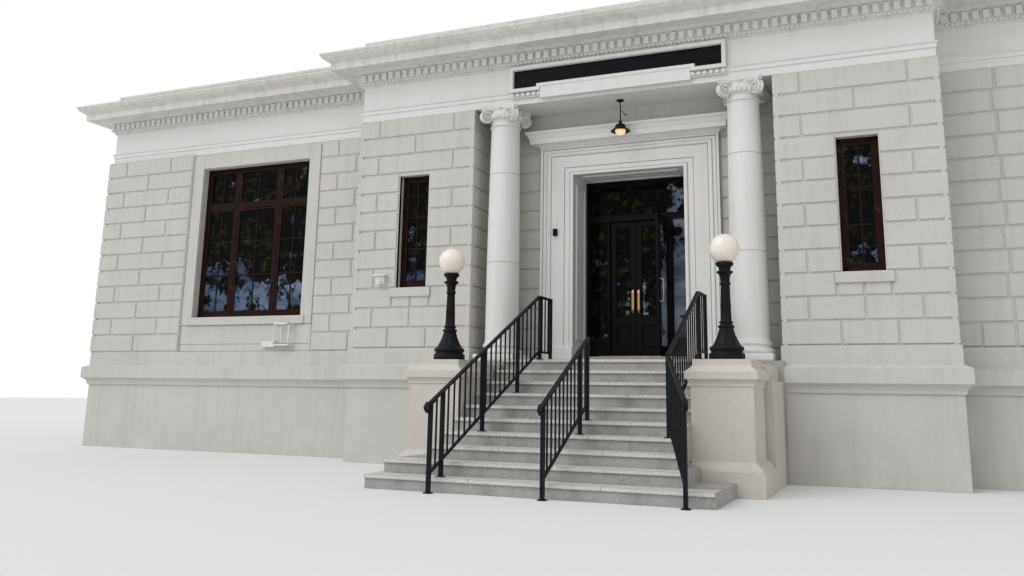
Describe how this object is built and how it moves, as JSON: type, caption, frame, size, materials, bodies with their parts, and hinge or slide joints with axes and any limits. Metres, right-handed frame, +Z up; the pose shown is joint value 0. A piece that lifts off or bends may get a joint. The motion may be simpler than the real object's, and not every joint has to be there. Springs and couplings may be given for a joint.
{
  "type": "town hall building",
  "caption": "Classical town hall with a columned portico, channelled walls, dentil cornice, glazed entrance doors and a flight of steps with handrails and globe lamps.",
  "frame": {"origin": "on the ground, on the centre line, in the plane of the pavilion's front wall", "axes": "+X to the right along the front, +Y into the building, +Z up"},
  "size_m": [23.956, 16.971, 7.346],
  "materials": {
    "black_iron": "satin black paint on cast and wrought iron",
    "black_paint": "gloss black paint",
    "dark_wood": "varnished mahogany",
    "granite_beige": "fine-picked speckled granite",
    "granite_grey": "worn grey granite with dark stains",
    "hall_floor": "polished terrazzo",
    "opal_glass": "opal white glass, smooth",
    "roofing": "weathered gravel felt",
    "stucco": "matte painted render with channelled joints",
    "trim": "matte white-painted mouldings, streaked by rain"
  },
  "bodies": {
    "building": {"left_pier": "stucco", "right_pier": "stucco", "portico_wall_left": "stucco", "portico_wall_right": "stucco", "portico_wall_over": "stucco", "left_wing_wall": "stucco", "right_wing_wall": "stucco", "left_side_wall": "stucco", "right_side_wall": "stucco", "rear_wall": "stucco", "hall_floor": "hall_floor", "portico_floor": "granite_grey", "portico_ceiling": "trim", "roof_slab": "roofing", "front_entablature": "trim", "left_entablature": "trim", "right_entablature": "trim", "rear_entablature": "trim", "pavilion_cornice": "trim", "left_wing_cornice": "trim", "right_wing_cornice": "trim", "left_cornice": "trim", "right_cornice": "trim", "rear_cornice": "trim", "sign_frame": "trim", "sign_panel": "black_paint", "left_column": "trim", "right_column": "trim", "left_capital": "trim", "right_capital": "trim", "door_surround": "trim", "door_reveal": "trim", "door_sill": "granite_grey", "door_screen": "black_paint", "steps": "granite_grey", "left_pedestal": "granite_beige", "right_pedestal": "granite_beige", "left_cheek_wall": "granite_beige", "right_cheek_wall": "granite_beige", "left_lamp_post": "black_iron", "right_lamp_post": "black_iron", "left_globe": "opal_glass", "right_globe": "opal_glass", "left_rail": "black_iron", "centre_rail": "black_iron", "right_rail": "black_iron", "right_rail_splay": "black_iron", "hanging_lamp": "black_iron", "pier_windows": "dark_wood", "wing_windows": "dark_wood", "side_windows": "dark_wood", "rear_windows": "dark_wood"},
    "left_leaf": {"left_door": "black_paint"},
    "right_leaf": {"right_door": "black_paint"},
    "outer_leaf": {"outer_door": "black_paint"}
  },
  "joints": [
    {"name": "left_leaf_hinge", "type": "hinge", "parent": "building", "child": "left_leaf", "pos_m": [-0.509, 1.494, 1.765], "axis": [0, 0, 1], "range_deg": [0, 90]},
    {"name": "right_leaf_hinge", "type": "hinge", "parent": "building", "child": "right_leaf", "pos_m": [0.527, 1.494, 1.765], "axis": [0, 0, -1], "range_deg": [0, 90]},
    {"name": "outer_leaf_hinge", "type": "hinge", "parent": "building", "child": "outer_leaf", "pos_m": [0.5445, 1.316, 1.765], "axis": [0, 0, 1], "range_deg": [-84, 6]}
  ]
}
